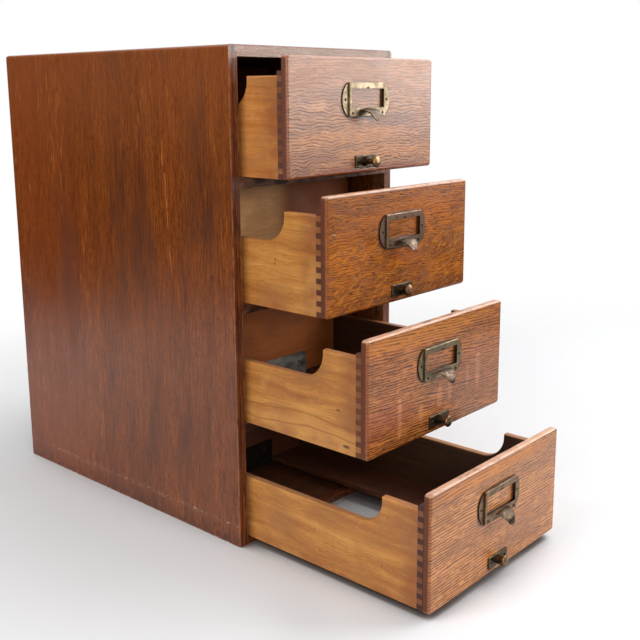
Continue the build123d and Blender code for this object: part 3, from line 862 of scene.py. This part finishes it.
def steel(name, rust_and_shade):
    """The followers' guide plates: dull grey at 0, and at 1 rusted and darkened near black as
    painted shade.
    """
    s = Surface(name)
    blotch = s.noise((14, 14, 10), 301, 4, 0.6)
    scratch = s.noise((30, 3, 0.8), 302, 3, 0.6)
    colour = s.ramp(blotch, (0.35, tone(122, 116, 108)), (0.6, tone(172, 168, 160)))
    colour = s.paint(colour, tone(84, 66, 54), s.between(scratch, 0.55, 0.7, 0, 0.5))
    colour = s.paint(colour, tone(26, 17, 13), s.between(blotch, 0.2, 0.5, 0.95 * rust_and_shade, rust_and_shade))
    s.bump(scratch, 0.04)
    rough = s.between(blotch, 0.3, 0.7, 0.4 + 0.3 * rust_and_shade, 0.6 + 0.3 * rust_and_shade)
    return s.finish(colour, rough, metallic=0.85 * (1 - rust_and_shade), gloss=0.5 - 0.4 * rust_and_shade)


def dress_drawers():
    plate_steel = steel("guide_steel", 0)
    dark_steel = steel("rusted_shaded_steel", 1)
    screw = brass("screw_brass", 210, SCREW_TONES)
    plate = brass("plate_brass", 215, PLATE_TONES)
    knob = brass("knob_brass", 220, KNOB_TONES, stretch=ROD_STRETCH)
    for n in DRAWERS:
        wear(f"drawer_front_{n}", front_wood(n))
        pale = box_wood(n)
        for board in ("drawer_side_left", "drawer_side_right", "drawer_back"):
            wear(f"{board}_{n}", pale)
        wear(f"drawer_floor_{n}", inside_wood(f"floor_wood_{n}", "YXZ", 60 + n))
        follower = inside_wood(f"follower_wood_{n}", "XZY", 70 + n, FOLLOWER_TONES[n],
                               painted_shadow=n == 2, **FOLLOWER_LOOK)
        wear(f"follower_board_{n}", follower)
        # The fourth drawer's plate is painted near black, as shade.
        wear(f"follower_plate_{n}", dark_steel if n == 4 else plate_steel)
        wear(f"label_pull_{n}", brass(f"pull_brass_{n}", 230 + n, PULL_TONES[n], drawer=n))
        wear(f"rod_plate_{n}", plate)
        wear(f"drawer_screws_{n}", screw)
        wear(f"card_rod_{n}" if n < 4 else "rod_knob_4", knob)


# Studio: metres, and watts for the lights

FLOOR_MIDDLE = (0.2, -0.18, -0.0002)
FLOOR_REACH = 1.9
FLOOR_STEPS = 96
FLOOR_FADE = (0.42, 1.15)
SHADE_REACH = 0.2
LIGHTS = (
    ("overhead", (0.1, -0.2, 1.9), (0, -0.1, 0), (1.5, 1.5), 13),
    ("right_front", (1.25, -1.34, 1.02), (0, -0.3, 0.6), (1.1, 1.3), 25),
    ("right_high", (1.6, -0.4, 1.45), (0, -0.35, 0.35), (1.3, 1.1), 15),
    ("left_rear", (-1.6, 0.1, 1.5), (0, -0.1, 0.2), (1.1, 1.1), 22),
    ("camera_fill", (-1.25, -1.85, 0.95), (0, -0.2, 0.3), (1.2, 1.0), 20),
)

# Each flag runs from one place on the floor to another, up to a height
FLAG_FOOT = 0.002
FLAGS = (
    ("flag_left", (-1.55, 0.22), (-0.05, 1.30), 1.5),
    ("flag_right", (0.25, -1.50), (1.25, -0.42), 0.30),
)

# The light that falls from everywhere, apart from the white that is only seen
WORLD_FILL = 0.08
WHITE = (1, 1, 1, 1)


def make_floor():
    """Studio paper that darkens where little light reaches it and fades out far away."""
    ring = []
    for step in range(FLOOR_STEPS):
        turn = 2 * math.pi * step / FLOOR_STEPS
        ring.append((FLOOR_REACH * math.cos(turn), FLOOR_REACH * math.sin(turn), 0))
    mesh = bpy.data.meshes.new("studio_floor")
    mesh.from_pydata(ring, [], [tuple(range(FLOOR_STEPS))])
    floor = bpy.data.objects.new("studio_floor", mesh)
    floor.location = FLOOR_MIDDLE
    bpy.context.scene.collection.objects.link(floor)
    s = Surface("studio_paper")
    stain = s.noise((400, 400, 400), 401, 3)
    colour = s.mix(stain, tone(234, 235, 237), tone(226, 227, 229))
    open_sky = s.node("ShaderNodeAmbientOcclusion", samples=16)
    open_sky.inputs["Distance"].default_value = SHADE_REACH
    hidden = s.between(open_sky.outputs["AO"], 0.62, 0.28)
    s.finish(s.paint(colour, tone(92, 76, 66), hidden, 0.9), 0.7, gloss=0.2)
    length = s.node("ShaderNodeVectorMath", operation="LENGTH")
    s.feed(length.inputs[0], s.place)
    far = s.between(length.outputs["Value"], FLOOR_FADE[0] / MM, FLOOR_FADE[1] / MM)
    mixed = s.node("ShaderNodeMixShader")
    s.feed(mixed.inputs[0], far)
    s.feed(mixed.inputs[1], s.shader.outputs["BSDF"])
    s.feed(mixed.inputs[2], s.node("ShaderNodeBsdfTransparent").outputs["BSDF"])
    s.feed(s.output.inputs["Surface"], mixed.outputs["Shader"])
    mesh.materials.append(s.material)


def make_light(name, place, target, size, power):
    """A soft box at place, looking at target."""
    data = bpy.data.lights.new(name, "AREA")
    data.shape = "RECTANGLE"
    data.size, data.size_y = size
    data.energy = power
    light = bpy.data.objects.new(name, data)
    light.location = place
    aim = Vector(target) - Vector(place)
    light.rotation_mode = "QUATERNION"
    light.rotation_quaternion = aim.to_track_quat("-Z", "Y")
    bpy.context.scene.collection.objects.link(light)


def make_flag(name, start, end, height):
    """A black studio flag. Only reflections show it, so it keeps the varnish from turning milky."""
    corners = ((*start, FLAG_FOOT), (*end, FLAG_FOOT), (*end, height), (*start, height))
    mesh = bpy.data.meshes.new(name)
    mesh.from_pydata(corners, [], [(0, 1, 2, 3)])
    flag = bpy.data.objects.new(name, mesh)
    bpy.context.scene.collection.objects.link(flag)
    s = Surface(f"{name}_cloth")
    weave = s.noise((3, 3, 3), 411, 2)
    s.finish(s.mix(weave, tone(8, 8, 9), tone(16, 15, 15)), 0.95)
    mesh.materials.append(s.material)
    flag.visible_camera = False
    flag.visible_diffuse = False
    flag.visible_shadow = False


def make_world():
    """White where the camera, metal and glass look at it, and a faint fill for all else."""
    world = bpy.data.worlds.new("studio")
    bpy.context.scene.world = world
    world.use_nodes = True
    tree = world.node_tree
    tree.nodes.clear()
    path = tree.nodes.new("ShaderNodeLightPath")
    seen = path.outputs["Is Camera Ray"]
    for name in ("Is Glossy Ray", "Is Transmission Ray"):
        either = tree.nodes.new("ShaderNodeMath")
        either.operation = "MAXIMUM"
        tree.links.new(seen, either.inputs[0])
        tree.links.new(path.outputs[name], either.inputs[1])
        seen = either.outputs[0]
    mixed = tree.nodes.new("ShaderNodeMixShader")
    tree.links.new(seen, mixed.inputs[0])
    for socket, strength in ((mixed.inputs[1], WORLD_FILL), (mixed.inputs[2], 1)):
        background = tree.nodes.new("ShaderNodeBackground")
        background.inputs["Color"].default_value = WHITE
        background.inputs["Strength"].default_value = strength
        tree.links.new(background.outputs[0], socket)
    output = tree.nodes.new("ShaderNodeOutputWorld")
    tree.links.new(mixed.outputs[0], output.inputs["Surface"])


make_camera()
dress_case()
dress_drawers()
make_floor()
make_world()
for flag in FLAGS:
    make_flag(*flag)
for light in LIGHTS:
    make_light(*light)
bpy.context.scene.view_settings.view_transform = "Standard"
